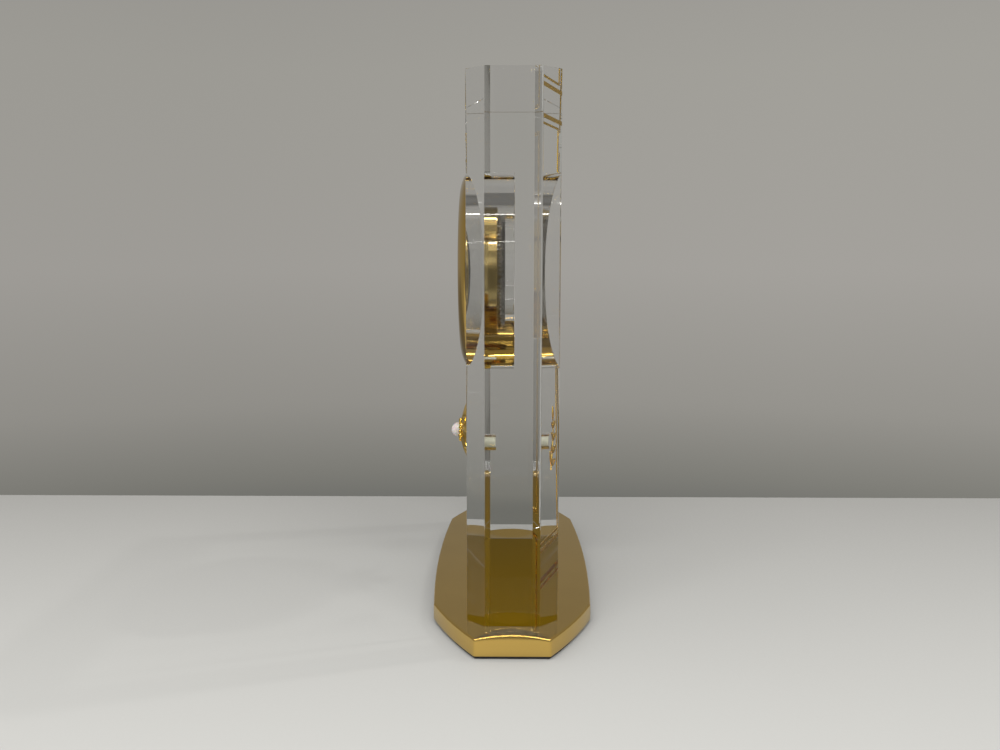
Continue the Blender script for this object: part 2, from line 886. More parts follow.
@dataclass
class GoldBase:
    """The polished base: eight sides, bowed long edges, and a crowned lip at each end."""

    half_end: float = 12.3
    corner_run: float = 30.2
    half_corner: float = 27.3
    bulge: float = 1.0
    rounding: float = 0.7
    foot_round: float = 0.25
    foot_middle: Pair = (0.07, 0.06)
    top_rows: Triple = (1.0, 12.0, 12.5)
    lip_rise: float = 1.5
    lip_start: float = 74.0
    lip_blend: float = 0.12
    corner_round: float = 0.45

    def __post_init__(self) -> None:
        """Takes the CAD plate's box and works out the arcs that the outline is drawn with."""
        self.low, high = box_mm("base_plate")
        self.half_length, self.half_middle = high[:2]
        self.plate_top = box_mm("acrylic_block")[0][2] - CEMENT
        self.corner = corner = np.array([self.half_length - self.corner_run, self.half_corner])
        bow = self.half_middle - self.half_corner
        self.side_radius = (corner[0] ** 2 + bow**2) / (2 * bow)
        run = np.array([self.corner_run, self.half_end - self.half_corner])
        half_chord = np.linalg.norm(run) / 2
        self.diagonal_radius = (half_chord**2 + self.bulge**2) / (2 * self.bulge)
        outward = np.array([-run[1], run[0]]) / np.linalg.norm(run)
        self.diagonal_centre = corner + run / 2 - outward * (self.diagonal_radius - self.bulge)
        self.side_centre = np.array([0.0, self.half_middle - self.side_radius])

    def quarter(self, inset: float) -> Array:
        """Draws a quarter of the outline, from the middle of an end to the middle of a long side.

        The end line, the diagonal arc and the side arc are drawn farther in by the corner rounding,
        and every point then moves out by it along the normal, which turns at the corners. The side
        arc and the diagonal arc meet where two circles cross.

        Args:
            inset: How far the outline lies inside the plate's edge.

        Returns:
            Points, as (n, 2).
        """
        back = inset + self.corner_round
        side_r, diagonal_r = self.side_radius - back, self.diagonal_radius - back
        end_x = self.half_length - back
        end_y = self.diagonal_centre[1] + np.sqrt(diagonal_r**2 - (end_x - self.diagonal_centre[0]) ** 2)
        apart = self.diagonal_centre - self.side_centre
        gap = np.linalg.norm(apart)
        along = (side_r**2 - diagonal_r**2 + gap**2) / (2 * gap)
        off = np.sqrt(side_r**2 - along**2)
        sideways = np.array([apart[1], -apart[0]])
        crossings = [self.side_centre + (apart * along + sideways * sign * off) / gap for sign in (-1, 1)]
        meet = min(crossings, key=lambda point: np.linalg.norm(point - self.corner))
        end_turn = bearing((end_x, end_y), self.diagonal_centre)
        diagonal_turn = bearing(meet, self.diagonal_centre)
        side_turn = bearing(meet, self.side_centre)
        soft = self.corner_round
        flat = np.stack([np.full(22, end_x), np.linspace(0, end_y, 22)], axis=-1)
        points = [
            flat + [soft, 0.0],
            arc((end_x, end_y), soft, 0, end_turn, 7)[1:],
            arc(self.diagonal_centre, diagonal_r + soft, end_turn, diagonal_turn, 36)[1:],
            arc(meet, soft, diagonal_turn, side_turn, 7)[1:],
            arc(self.side_centre, side_r + soft, side_turn, 90, 40)[1:],
        ]
        return np.concatenate(points)

    def outline(self, inset: float) -> Array:
        """Mirrors the quarter to all four corners.

        Args:
            inset: How far the outline lies inside the plate's edge.

        Returns:
            The closed outline's points, as (n, 2).
        """
        first = self.quarter(inset)
        second = first[::-1][1:] * [-1, 1]
        third = first[1:] * [-1, -1]
        fourth = first[::-1][1:-1] * [1, -1]
        return np.concatenate([first, second, third, fourth])

    def lip(self, x: Array, y: Array) -> Array:
        """Gives how far the end lips rise above the flat top.

        The lip is a plane that climbs from lip_start to the end, less y^2 / (2 crown), cut off at
        0 with a smooth maximum, (s + sqrt(s^2 + blend^2)) / 2.

        Args:
            x: Places along the base.
            y: Places across it.

        Returns:
            The rise, in millimetres.
        """
        crown = (self.half_end**2 + self.lip_rise**2) / (2 * self.lip_rise)
        climb = self.lip_rise * (np.abs(x) - self.lip_start) / (self.half_length - self.lip_start)
        s = climb - y**2 / (2 * crown)
        return (s + np.sqrt(s**2 + self.lip_blend**2)) / 2

    def surface(self) -> Surface:
        """Stacks the outline up the side, over the rounding and in across the top.

        Each row has an inset and a height. The rows of the rounding and the top also rise with the
        lip, and the side's rows share the rise evenly.

        Returns:
            The plate's skin.
        """
        bottom, top = self.low[2], self.plate_top
        side_low, side_high = bottom + self.foot_round, top - self.rounding
        side = np.linspace(0, 1, 5)[1:]
        b = np.radians(np.linspace(0, 90, 9))[1:]
        first, last, middle = self.top_rows
        across = np.concatenate([np.linspace(first, last, 45), [middle]])
        foot_insets = [self.foot_round, self.foot_middle[0], 0.0]
        insets = np.concatenate([foot_insets, 0 * side, self.rounding * (1 - np.cos(b)), across])
        heights = [
            [bottom, bottom + self.foot_middle[1], side_low],
            side_low + side * (side_high - side_low),
            side_high + self.rounding * np.sin(b),
            np.full(len(across), top),
        ]
        heights = np.concatenate(heights)
        shares = np.clip((heights - side_low) / (side_high - side_low), 0, 1)
        rings = np.stack([self.outline(inset) for inset in insets])
        x, y = rings[..., 0], rings[..., 1]
        z = heights[:, None] + shares[:, None] * self.lip(x, y)
        return woven(np.stack([x, y, z], axis=-1))

    def build(self) -> None:
        """Makes the plate and dresses the pad under it."""
        gold = (BASE_GOLD, Body.STAND, Slot.BASE_GOLD)
        Piece("gold_base", self.surface(), *gold, ("base_plate",), crease=38.0).place()
        dressed(["base_pad"], FELT)


# Block


@dataclass
class AcrylicBlock:
    """The clear block: bevelled upright edges, a blind pocket for the clock, and the stud's hole."""

    bevel: Pair = (5.5, 6.0)
    bevel_shift: float = 0.6
    arris: float = 0.09
    pocket_depth: float = 15.6
    stud_hole_radius: float = 3.0
    stud_hole_depth: float = 9.0
    mouth: float = 0.08
    face_gap: float = 0.006
    foot_gap: float = 0.02
    crease: float = 4.0

    def __post_init__(self) -> None:
        """Takes the CAD block's box."""
        self.low, self.high = box_mm("acrylic_block")

    def outline(self, inset: float) -> Array:
        """Draws the eight-sided outline with a polished arris on each upright edge.

        Args:
            inset: How far it lies inside the block's faces.

        Returns:
            The outline's points, as (n, 2).
        """
        half_w, half_t = self.high[0] - inset, self.high[1] - inset - self.face_gap
        shift = inset * self.bevel_shift
        x_in, y_in = half_w - self.bevel[0] + shift, half_t - self.bevel[1] + shift
        corners = [
            (half_w, -y_in), (half_w, y_in), (x_in, half_t), (-x_in, half_t),
            (-half_w, y_in), (-half_w, -y_in), (-x_in, -half_t), (x_in, -half_t),
        ]
        return softened(corners, self.arris, 4)

    def solid(self) -> Surface:
        """Stacks the outline into a block whose top and bottom edges have an arris too.

        Returns:
            The block before it is cut.
        """
        foot, top = self.low[2] - CEMENT + self.foot_gap, self.high[2]
        cut, hold = self.arris, self.arris * HOLD
        rows = [(cut + hold, foot), (cut, foot), (0.0, foot + cut), (0.0, foot + cut + hold)]
        rows += [(0.0, top - cut - hold), (0.0, top - cut), (cut, top), (cut + hold, top)]
        outlines = [(self.outline(inset), height) for inset, height in rows]
        return woven(np.stack([np.column_stack([line, np.full(len(line), up)]) for line, up in outlines]))

    def hole(self, radius: float, depth: float, centre: Sequence[float], segments: int) -> Surface:
        """Gives the cutter for a blind hole from the front, with a small chamfer at its mouth.

        Args:
            radius: The hole's radius.
            depth: How deep it goes.
            centre: Its axis, across and up.
            segments: Points round it.

        Returns:
            The cutter.
        """
        face, mouth, axis, beyond = self.high[1] - self.face_gap, self.mouth, 1e-3, 1.0
        profile = [
            (axis, face - depth), (radius - mouth, face - depth), (radius, face - depth + mouth),
            (radius, face - mouth), (radius + mouth + beyond, face + beyond), (axis, face + beyond),
        ]
        return lathe(profile, centre, segments, ring=False)

    def cut(self) -> bpy.types.Mesh:
        """Cuts the pocket and the stud's hole into the block.

        Returns:
            The cut block, in metres.
        """
        used = [placed("clear_block", mesh_from("clear_block", self.solid(), self.crease))]
        pocket = self.hole(POCKET_RADIUS, self.pocket_depth, CLOCK_CENTRE, 256)
        stud_hole = self.hole(self.stud_hole_radius, self.stud_hole_depth, (0.0, ROSETTE_UP), 64)
        for cutter in (pocket, stud_hole):
            used.append(placed("cutter", mesh_from("cutter", cutter, 12.0)))
            cut = used[0].modifiers.new("hole", "BOOLEAN")
            cut.operation, cut.solver, cut.object = "DIFFERENCE", "EXACT", used[-1]
        bpy.context.view_layer.update()
        ready = used[0].evaluated_get(bpy.context.evaluated_depsgraph_get())
        mesh = bpy.data.meshes.new_from_object(ready)
        for thing in used:
            bpy.data.objects.remove(thing)
        finish_mesh(mesh, self.crease)
        return mesh

    def build(self) -> None:
        """Dresses the block, with the base's gold on its underside, which clear cement joins to it."""
        mesh = self.cut()
        mesh.materials.clear()
        for finish in (ACRYLIC, FOOT_GOLD):
            mesh.materials.append(finish.material())
        centres = np.empty(3 * len(mesh.polygons), np.float32)
        mesh.polygons.foreach_get("center", centres)
        at_foot = centres.reshape(-1, 3)[:, 2] < (self.low[2] - CEMENT / 2) * MM
        mesh.polygons.foreach_set("material_index", at_foot.astype(np.int32))
        nodes = ("acrylic_block", "cement_film")
        seated("acrylic_block_polished", mesh, Body.STAND, nodes)
        dressed(["outer_border_inlay", "inner_border_inlay", "sprig_inlay"], INLAY_GOLD)


# Rosette


@dataclass
class Rosette:
    """The domed gold rosette: veined leaves, a ring of beads, a cup and the pearl."""

    dome_radius: float = 26.5
    proud: float = 5.5
    reach: float = 16.0
    leaf_width: float = 7.2
    directions: tuple[float, ...] = (0, 38, 80, 125, 180, 235, 280, 322)
    overlap: float = 0.22
    cup_radius: float = 3.3
    bead_radius: float = 0.75
    beads: int = 16
    pearl_radius: float = 2.85
    pearl_proud: float = 0.6
    rib: float = 0.28
    vein: float = 0.10
    veins: int = 7

    def __post_init__(self) -> None:
        """Works out where the rosette's front and the pearl's middle are."""
        self.front = BLOCK_FACE + self.proud
        self.pearl_depth = self.front + self.pearl_proud

    def dome(self, distance: Array) -> Array:
        """Gives the depth of the dome at a distance from its middle, from the sphere's formula."""
        return self.front - self.dome_radius + np.sqrt(self.dome_radius**2 - distance**2)

    def leaf(self, direction: float, lift: float) -> Surface:
        """Makes one leaf.

        With u from 0 at the cup to 1 at the tip and v from -1 to 1 across, the point lies at
        u * reach along the leaf and v * half width across it, on the dome. The half width follows
        sin(pi u^0.9)^0.8. The front is raised by a rib, exp(-(v / 0.16)^2), and by veins,
        cos(2 pi veins (u - |v| / 5)), and both fade to the ends. The back follows the front at the
        leaf's thickness, which thins to the edges.

        Args:
            direction: Which way the leaf points, in degrees clockwise from the top.
            lift: How far it lies in front of the leaves under it.

        Returns:
            The leaf as a closed skin.
        """
        u = np.linspace(0.12, 0.995, 64)[:, None]
        v = np.linspace(-1, 1, 33)[None, :]
        half_width = self.leaf_width / 2 * np.sin(np.pi * u**0.9) ** 0.8
        along, across = u * self.reach, v * half_width
        fade = np.sin(np.pi * u) ** 0.5
        rib = self.rib * np.exp(-((v / 0.16) ** 2)) * fade
        veins = self.vein * np.cos(2 * np.pi * self.veins * (u - np.abs(v) / 5)) * fade * (1 - v**4)
        base = self.dome(np.hypot(along, across)) - 0.45 + lift
        front = np.minimum(base + rib + veins * np.abs(v) ** 0.4, self.front)
        thickness = 0.25 + 0.45 * (1 - v**2)
        back = np.maximum(front - thickness, BLOCK_FACE + 0.01)
        front = np.maximum(front, back + 0.04)
        x, up = clockwise(across, along, direction, ROSETTE_UP)
        return woven(np.concatenate([on_clock(x, up, front), on_clock(x, up, back)[:, ::-1]], axis=1))

    def leaves(self) -> Surface:
        """Joins the leaves, the disc they spring from and the beads.

        Returns:
            The rosette's skin.
        """
        parts = [self.leaf(way, self.overlap * (number % 2)) for number, way in enumerate(self.directions)]
        inner, outer = self.cup_radius, self.cup_radius + 1.6
        front = self.dome(np.array(outer)) - 0.05
        disc = [(inner, front - 0.8), (outer, front - 0.8), (outer, front), (inner, front + 0.4)]
        parts.append(lathe(softened(disc, 0.12), (0.0, ROSETTE_UP), 96))
        ring = self.cup_radius + self.bead_radius * 0.9
        turns = 2 * np.pi * np.arange(self.beads) / self.beads
        spots = np.column_stack([ring * np.sin(turns), ring * np.cos(turns)])
        bead = ball(self.bead_radius, (0.0, ROSETTE_UP, float(self.dome(np.array(ring)))), 12, 16)
        parts += [bead.moved((x, 0.0, up)) for x, up in spots]
        return Surface.joined(parts)

    def cup(self) -> Surface:
        """Turns the cup: a flared wall, a rolled rim and a bowl that follows the pearl.

        Returns:
            The cup.
        """
        back, rim, outer = BLOCK_FACE + 2.6, self.front - 0.1, self.cup_radius
        bowl = arc((0.0, self.pearl_depth), self.pearl_radius + 0.03, -88, -26, 12)
        wall = [
            (outer - 0.22, rim - 0.02), (outer, rim - 0.22), (outer, rim - 0.5), (outer - 0.3, rim - 0.8),
            (outer - 0.35, back + 0.5), (outer - 0.05, back + 0.2), (outer - 0.05, back), (0.02, back),
        ]
        return lathe(np.concatenate([bowl, wall]), (0.0, ROSETTE_UP), 96, ring=False)

    def stud(self) -> Surface:
        """Turns the stud: a wide part in its hole in the block, and a pin that holds the cup.

        Returns:
            The stud.
        """
        hidden, face, tip = 6.1, BLOCK_FACE, 17.55
        profile = [(0.02, hidden), (2.75, hidden), (2.95, hidden + 0.2), (2.95, face)]
        profile += [(2.0, face), (2.0, tip), (0.02, tip)]
        return lathe(profile, (0.0, ROSETTE_UP), 96, ring=False)

    def build(self) -> None:
        """Makes the leaves, the cup, the stud and the pearl."""
        gold = (Body.STAND, Slot.ROSETTE_GOLD)
        Piece("rosette", self.leaves(), ROSETTE_GOLD, *gold, ("rosette_leaves",)).place()
        Piece("pearl_cup_turned", self.cup(), ROSETTE_GOLD, *gold, ("pearl_cup",)).place()
        Piece("rosette_stud_turned", self.stud(), STUD_CEMENT, *gold, ("rosette_stud",)).place()
        pearl = ball(self.pearl_radius, (0.0, ROSETTE_UP, self.pearl_depth), 64, 96)
        Piece("pearl_polished", pearl, PEARL, Body.STAND, Slot.PEARL, ("pearl",)).place()


# Clock case


@dataclass
class ClockCase:
    """The insert's shell: bezel, drum, grip ring, crystal and the sloping ring inside."""

    bezel_radius: float = 38.1
    proud: float = 4.5
    roll: float = 2.2
    dome: float = 13.0
    window: float = 31.4
    crest_out: float = 0.5
    dome_in: float = 1.9
    slope_drop: float = 0.6
    glass_drop: float = 1.18
    glass_radius: float = 32.6
    drum_radius: float = 34.3
    drum_wall: float = 1.0
    drum_rear: float = 5.3
    cap_mouth: float = 29.0
    seat: float = 16.4
    band: Pair = (12.4, 13.8)

    def bezel(self) -> Surface:
        """Turns the bezel: a rounded rim, a domed front and a slope down to the crystal.

        The dome is an arc of the dome radius that reaches the front at the crest. The rim is an arc
        of the roll radius inside it, and the two touch where their centres are dome - roll apart.

        Returns:
            The bezel.
        """
        face, front, crest = BLOCK_FACE, BLOCK_FACE + self.proud, self.window + self.crest_out
        dome_at = np.array([self.window - self.dome_in, 0.0])
        dome_at[1] = front - np.sqrt(self.dome**2 - (crest - dome_at[0]) ** 2)
        rim_at = np.array([self.bezel_radius - self.roll, 0.0])
        rim_at[1] = dome_at[1] + np.sqrt((self.dome - self.roll) ** 2 - (rim_at[0] - dome_at[0]) ** 2)
        touch, top = bearing(rim_at, dome_at), bearing((crest, front), dome_at)
        outside = [(self.drum_radius + 0.02, face), (self.bezel_radius - 0.15, face)]
        outside += [(self.bezel_radius, face + 0.15)]
        rim = arc(rim_at, self.roll, 0, touch, 14)
        dome = arc(dome_at, self.dome, touch, top, 24)[1:]
        step, seat = front - self.glass_drop, self.seat + 0.02
        corners = [
            (crest - 0.05, front), (self.window, front - self.slope_drop), (self.window, step),
            (self.glass_radius, step), (self.glass_radius, seat), (self.drum_radius + 0.02, seat),
        ]
        inside = softened(corners, [0.03, 0.1, 0.1, 0.02, 0.02, 0.02], 4)
        return lathe(np.concatenate([outside, rim, dome, inside]), CLOCK_CENTRE, 256)

    def drum(self) -> Surface:
        """Turns the drum: a thin wall with a flange at the rear that holds the cap.

        Returns:
            The drum.
        """
        bore, rear = self.drum_radius - self.drum_wall, self.drum_rear
        corners = [
            (self.cap_mouth, rear), (self.drum_radius, rear), (self.drum_radius, self.seat),
            (bore, self.seat), (bore, rear + 0.8), (self.cap_mouth, rear + 0.8),
        ]
        return lathe(softened(corners, [0.1, 0.4, 0.1, 0.1, 0.2, 0.1]), CLOCK_CENTRE, 256)

    def grip(self) -> Surface:
        """Turns the rubber band, which reaches from the drum almost to the pocket's wall.

        Returns:
            The band.
        """
        inner, outer = self.drum_radius, POCKET_RADIUS - 0.25
        back, front = self.band
        corners = [(inner, back), (outer, back), (outer, front), (inner, front)]
        return lathe(softened(corners, 0.2), CLOCK_CENTRE)

    def pane(self) -> Surface:
        """Turns the crystal: a flat disc, 1.5 mm thick, with a small chamfer.

        Returns:
            The crystal.
        """
        front, rim, flat, axis = BLOCK_FACE + self.proud - 1.2, 32.58, 32.45, 0.05
        back = front - 1.5
        profile = [(axis, back), (flat, back), (rim, back + 0.13), (rim, front - 0.14), (flat, front)]
        return lathe([*profile, (axis, front)], CLOCK_CENTRE, ring=False)

    def slope(self) -> Surface:
        """Turns the ring that slopes from the crystal down to the dial, with its rim on the drum.

        Returns:
            The ring.
        """
        corners = [(31.6, 16.79), (32.55, 16.79), (32.55, 16.39), (33.28, 16.39)]
        corners += [(33.28, 12.41), (32.35, 12.41), (32.35, 12.9), (32.05, 12.95)]
        return lathe(softened(corners, 0.03, 3), CLOCK_CENTRE, 256)

    def build(self) -> None:
        """Makes the shell's pieces."""
        case = (Body.INSERT, Slot.CASE_GOLD)
        Piece("bezel_polished", self.bezel(), CASE_GOLD, *case, ("bezel",), crease=24.0).place()
        Piece("case_drum_polished", self.drum(), DRUM_GOLD, *case, ("case_drum",), crease=24.0).place()
        Piece("grip_band", self.grip(), RUBBER, Body.INSERT, Slot.CLEAR_RUBBER, ("grip_ring",)).place()
        glass = (GLASS, Body.INSERT, Slot.MINERAL_GLASS)
        Piece("crystal_polished", self.pane(), *glass, ("crystal",)).place()
        ring = (REHAUT_GOLD, Body.INSERT, Slot.REHAUT_GOLD)
        Piece("rehaut", self.slope(), *ring, ("rehaut_ring",), crease=24.0).place()


# Dial and hands


class HandKind(Enum):
    """The three hands."""

    HOUR = "hour"
    MINUTE = "minute"
    SECONDS = "seconds"


@dataclass(frozen=True)
class Hand:
    """One hand.

    It has a turn clockwise from the top, stations as pairs of length and half width, the depth of
    its back, its thickness and the ridge on it, and a hub as radius, bore, back and front.
    """

    kind: HandKind
    turn: float
    stations: tuple[Pair, ...]
    back: float
    thickness: float
    ridge: float
    hub: tuple[float, float, float, float]
    body: Body

    def blade(self) -> Surface:
        """Makes the blade.

        At each station along the hand the section has five points: the two lower corners, the two
        upper edges at a little under half the thickness, and the ridge between them. The section's
        half width follows the stations in straight lines.

        Returns:
            The blade, turned to its place on the dial.
        """
        along, half = np.array(self.stations).T[:, :, None]
        side = np.array([-1, -1, 0, 1, 1])[None, :]
        level = np.array([0, 1, 1, 1, 0])[None, :]
        edge_share = 0.45
        edge = self.thickness * edge_share
        rise = (self.thickness * (1 - edge_share) + self.ridge) * np.clip(half / half.max(), 0.15, 1)
        depth = self.back + edge * level + rise * (side == 0)
        return woven(on_clock(*clockwise(half * side, along, self.turn, CLOCK_CENTRE[1]), depth))

    def boss(self) -> Surface:
        """Turns the hub with a stepped, rounded front.

        Returns:
            The hub.
        """
        radius, bore, back, front = self.hub
        corners = [
            (bore, back), (radius, back), (radius, front - 0.3), (radius * 0.72, front - 0.22),
            (radius * 0.68, front), (bore, front),
        ]
        return lathe(softened(corners, [0.02, 0.04, 0.05, 0.05, 0.05, 0.03]), CLOCK_CENTRE, 72)

    def build(self) -> None:
        """Makes the hand."""
        whole = Surface.joined([self.blade(), self.boss()])
        name = f"{self.kind.value}_hand"
        Piece(name + "_faceted", whole, HAND_GOLD, self.body, Slot.HAND_GOLD, (name,), crease=5.0).place()


@dataclass
class Dial:
    """The dial with its printed minute track, faceted hour markers and three hands."""

    marker_outer: float = 29.0
    marker_length: float = 4.0
    marker_width: float = 1.3
    floor: float = 12.4

    def markers(self) -> Surface:
        """Makes twelve markers, each a bar with a ridge and sloping ends.

        A marker's three rings go up: the foot, the shoulder and the ridge line. Each is a rectangle
        with a half width, a half length and a rise.

        Returns:
            All twelve.
        """
        half_w, half_l = self.marker_width / 2, self.marker_length / 2
        rings = np.array([[half_w, half_l, 0.0], [half_w, half_l, 0.22], [0.04, half_l - 0.5, 0.4]])
        corner = np.array([[1, 1], [-1, 1], [-1, -1], [1, -1]])
        x = rings[:, 0, None] * corner[None, :, 0]
        y = rings[:, 1, None] * corner[None, :, 1] + self.marker_outer - half_l
        depth = self.floor + rings[:, 2, None]
        places = [clockwise(x, y, 30.0 * hour, CLOCK_CENTRE[1]) for hour in range(12)]
        return Surface.joined([woven(on_clock(*place, depth)) for place in places])

    def hands(self) -> list[Hand]:
        """Gives the three hands as they stand at rest, at ten past ten.

        Returns:
            The hour, the minute and the seconds hand.
        """
        hour = Hand(
            HandKind.HOUR, 305.0, ((-0.5, 0.6), (4.0, 0.6), (7.875, 1.5), (17.4, 0.05)),
            back=12.95, thickness=0.3, ridge=0.06, hub=(2.3, 1.35, 12.8, 13.5), body=Body.HOUR,
        )
        minute = Hand(
            HandKind.MINUTE, 60.0, ((-0.5, 0.5), (4.0, 0.5), (10.2, 1.2), (25.4, 0.05)),
            back=13.95, thickness=0.3, ridge=0.05, hub=(1.9, 0.95, 13.8, 14.6), body=Body.MINUTE,
        )
        seconds = Hand(
            HandKind.SECONDS, 210.0, ((-7.0, 0.7), (-2.1, 0.25), (0.0, 0.22), (26.9, 0.1)),
            back=15.0, thickness=0.2, ridge=0.02, hub=(1.3, 0.3, 14.85, 15.6), body=Body.SECONDS,
        )
        return [hour, minute, seconds]

    def build(self) -> None:
        """Dresses the dial and makes the markers and hands."""
        dressed(["dial"], DIAL)
        dressed(["minute_track"], PRINT)
        markers = (self.markers(), HAND_GOLD, Body.INSERT, Slot.HAND_GOLD)
        Piece("hour_markers", *markers, ("hour_batons",), crease=5.0).place()
        for hand in self.hands():
            hand.build()


# Rear and movement


@dataclass
class Rear:
    """What closes the clock behind: the turned cap, the battery hatch and the setting knob."""

    def build(self) -> None:
        """Smooths the three pieces and gives them their finishes."""
        smoothed("back_cap", CAP_DARK, Body.INSERT)
        low, high = box_mm("battery_hatch")
        middle = tuple(float(value) for value in (low + high) / 2)
        grain = {"grain": Grain.RINGS, "centre": middle, "lines": 0.1}
        hatch = Metal("turned_hatch", (0.40, 0.39, 0.37), 0.20, patch=14.0, **grain)
        smoothed("battery_hatch", hatch, Body.HATCH)
        smoothed("setting_knob", KNOB_GREY, Body.KNOB)


@dataclass
class Movement:
    """The quartz movement, which keeps its CAD shapes."""

    brass_parts: tuple[str, ...] = (
        "minute_wheel", "cannon_pinion", "hour_wheel", "seconds_wheel", "third_wheel", "centre_wheel",
        "intermediate_wheel", "train_bridge", "battery_contact",
    )
    steel_parts: tuple[str, ...] = ("bridge_screws", "stator", "quartz_can", "battery")

    def build(self) -> None:
        """Dresses every part of the movement."""
        dressed(self.brass_parts, BRASS)
        dressed(self.steel_parts, STEEL)
        dressed(["movement_ring"], PLASTIC)
        dressed(["main_plate"], PLATE_PLASTIC)
        dressed(["circuit_board"], BOARD)
        dressed(["coil"], COPPER)
        dressed(["rotor"], MAGNET)


# Studio


@dataclass(frozen=True)
class Lamp:
    """An area lamp, with its place, size and power.

    It says too whether mirrors show it, and whether clear pieces do.
    """

    name: str
    at: Triple
    size: Pair
    power: float
    colour: Colour = (1.0, 0.985, 0.95)
    mirrored: bool = True
    through: bool = True
    aim_up: float = 90.0

    def hang(self) -> None:
        """Hangs the lamp so that it shines at the clock, with its long side along Y."""
        data = bpy.data.lights.new(self.name, "AREA")
        data.shape, data.size, data.size_y = "RECTANGLE", self.size[0] * MM, self.size[1] * MM
        data.energy, data.color = self.power, self.colour
        lamp = placed(self.name, data)
        place = Vector(self.at) * MM
        back = (place - Vector((0, 0, self.aim_up)) * MM).normalized()
        side = Vector((0, 1, 0)).cross(back).normalized()
        turn = Matrix((side, back.cross(side), back)).transposed().to_4x4()
        lamp.matrix_world = Matrix.Translation(place) @ turn
        lamp.visible_camera = False
        lamp.visible_glossy = self.mirrored
        lamp.visible_transmission = self.mirrored and self.through


